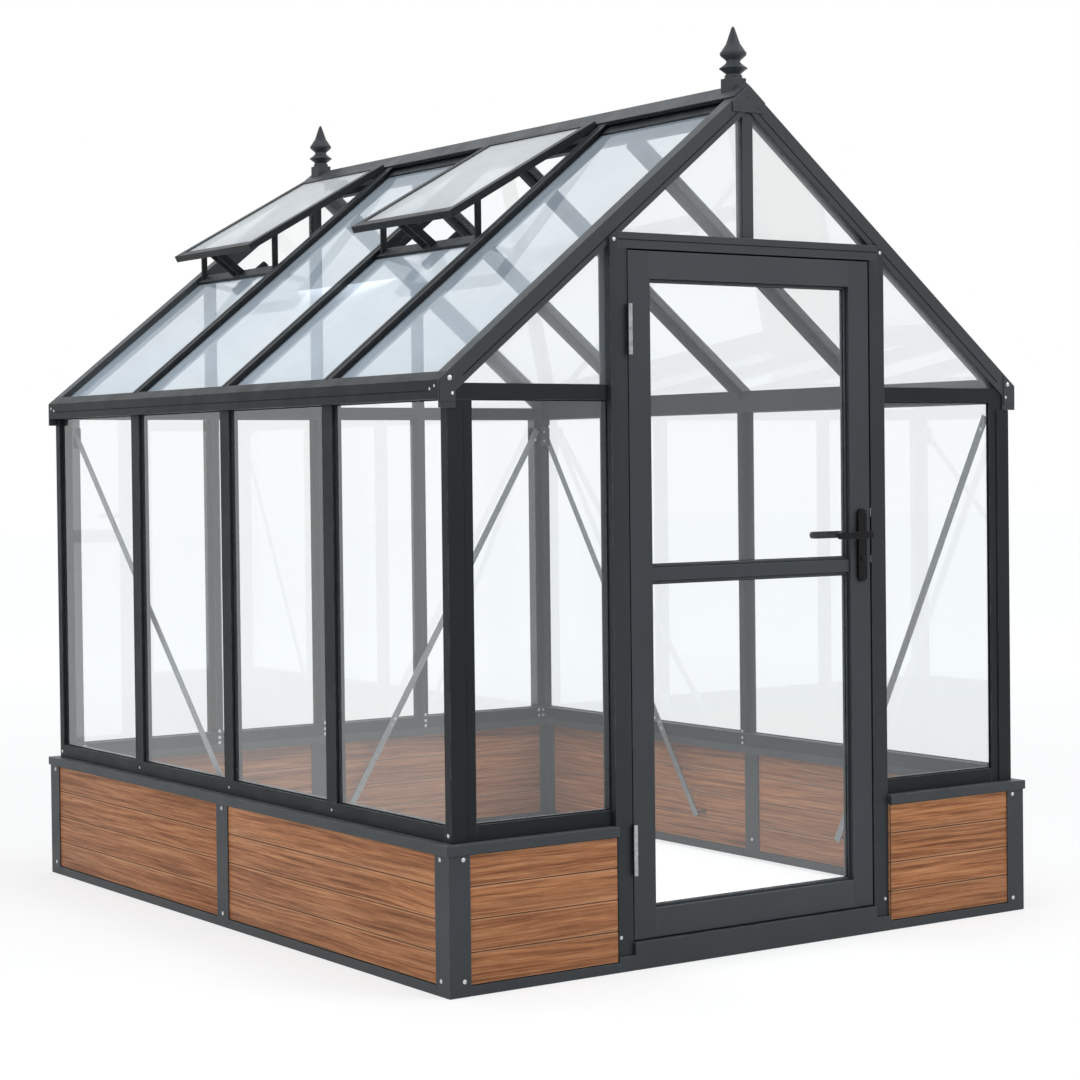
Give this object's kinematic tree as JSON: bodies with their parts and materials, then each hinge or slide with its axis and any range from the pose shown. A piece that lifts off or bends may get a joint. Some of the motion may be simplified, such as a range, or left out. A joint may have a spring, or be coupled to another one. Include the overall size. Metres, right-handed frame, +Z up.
{
  "type": "glass greenhouse",
  "caption": "Gable-roofed glass greenhouse with a metal frame on a low boarded base, a hinged glass door with a lever handle, open roof vents and ridge finials.",
  "frame": {"origin": "on the ground at the centre of the base", "axes": "+X to the right seen from the door, +Y from the door towards the back wall, +Z up"},
  "size_m": [2.05, 2.518, 2.558],
  "materials": {
    "frame_metal": "satin anthracite powder coat",
    "board_wood": "oiled walnut-coloured boards, satin",
    "clear_glass": "clear polished glass",
    "zinc": "zinc-plated steel screws and hinges",
    "opener_black": "black coated metal",
    "handle_black": "semi-gloss black coated metal",
    "brace_metal": "grey mill-finish flat bar"
  },
  "bodies": {
    "frame": {"base_posts": "frame_metal", "base_ground_rails": "frame_metal", "base_caps": "frame_metal", "side_base_boards": "board_wood", "back_base_boards": "board_wood", "front_base_boards": "board_wood", "corner_posts": "frame_metal", "sill_rails": "frame_metal", "side_mullions": "frame_metal", "back_mullions": "frame_metal", "eaves_beams": "frame_metal", "gable_rails": "frame_metal", "door_jambs": "frame_metal", "door_head": "frame_metal", "door_threshold": "frame_metal", "apex_mullion": "frame_metal", "front_barge_rafters": "frame_metal", "back_barge_rafters": "frame_metal", "left_rafters": "frame_metal", "right_rafters": "frame_metal", "ridge_beam": "frame_metal", "ridge_cap": "frame_metal", "left_wall_glass": "clear_glass", "right_wall_glass": "clear_glass", "back_wall_glass": "clear_glass", "front_wall_glass": "clear_glass", "front_gable_glass": "clear_glass", "back_gable_glass": "clear_glass", "left_roof_glass": "clear_glass", "right_roof_glass": "clear_glass", "vent_sill_bars": "frame_metal", "vent_frames": "frame_metal", "vent_glass": "clear_glass", "vent_openers": "opener_black", "wall_braces": "brace_metal", "apex_plates": "frame_metal", "finials": "frame_metal", "hinge_frame_halves": "zinc"},
    "door": {"door_stiles": "frame_metal", "door_rails": "frame_metal", "door_glazing_bar": "frame_metal", "door_glass": "clear_glass", "hinge_door_halves": "zinc", "handle_plates": "handle_black"},
    "lever": {"door_lever": "handle_black"}
  },
  "joints": [
    {"name": "door_hinge", "type": "hinge", "parent": "frame", "child": "door", "pos_m": [-0.4285, -1.2385, 1], "axis": [0, 0, -1], "range_deg": [0, 105]},
    {"name": "lever_turn", "type": "hinge", "parent": "door", "child": "lever", "pos_m": [0.3915, -1.207, 1.139], "axis": [0, -1, 0], "range_deg": [0, 40], "stiffness_Nm_per_rad": 1, "springref_deg": -17.19}
  ]
}
